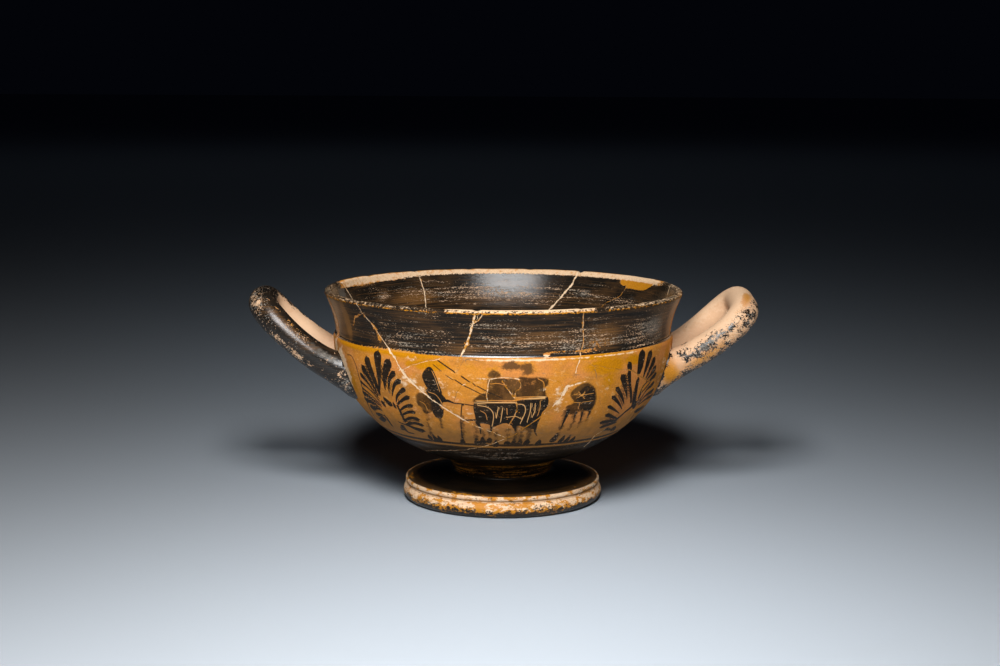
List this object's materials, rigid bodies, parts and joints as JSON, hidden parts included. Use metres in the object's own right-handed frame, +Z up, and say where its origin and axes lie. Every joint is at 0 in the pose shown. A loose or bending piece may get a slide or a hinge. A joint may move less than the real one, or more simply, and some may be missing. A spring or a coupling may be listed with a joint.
{
  "type": "black-figure skyphos",
  "caption": "Black-figure cup-skyphos: fired-clay drinking cup with a flared lip, rounded bowl, stemmed disc foot and canted loop handles, worn black gloss and painted band.",
  "frame": {"origin": "middle of the foot's resting face, at the bottom centre of the vessel", "axes": "+Z up out of the mouth, +X through the right handle, -Y towards the painted front"},
  "size_m": [0.2126, 0.15, 0.0899],
  "materials": {
    "fired_clay": "worn black gloss slip over orange-brown fired clay, with a reserved painted band"
  },
  "bodies": {
    "root": {"skyphos": "fired_clay"}
  },
  "joints": []
}
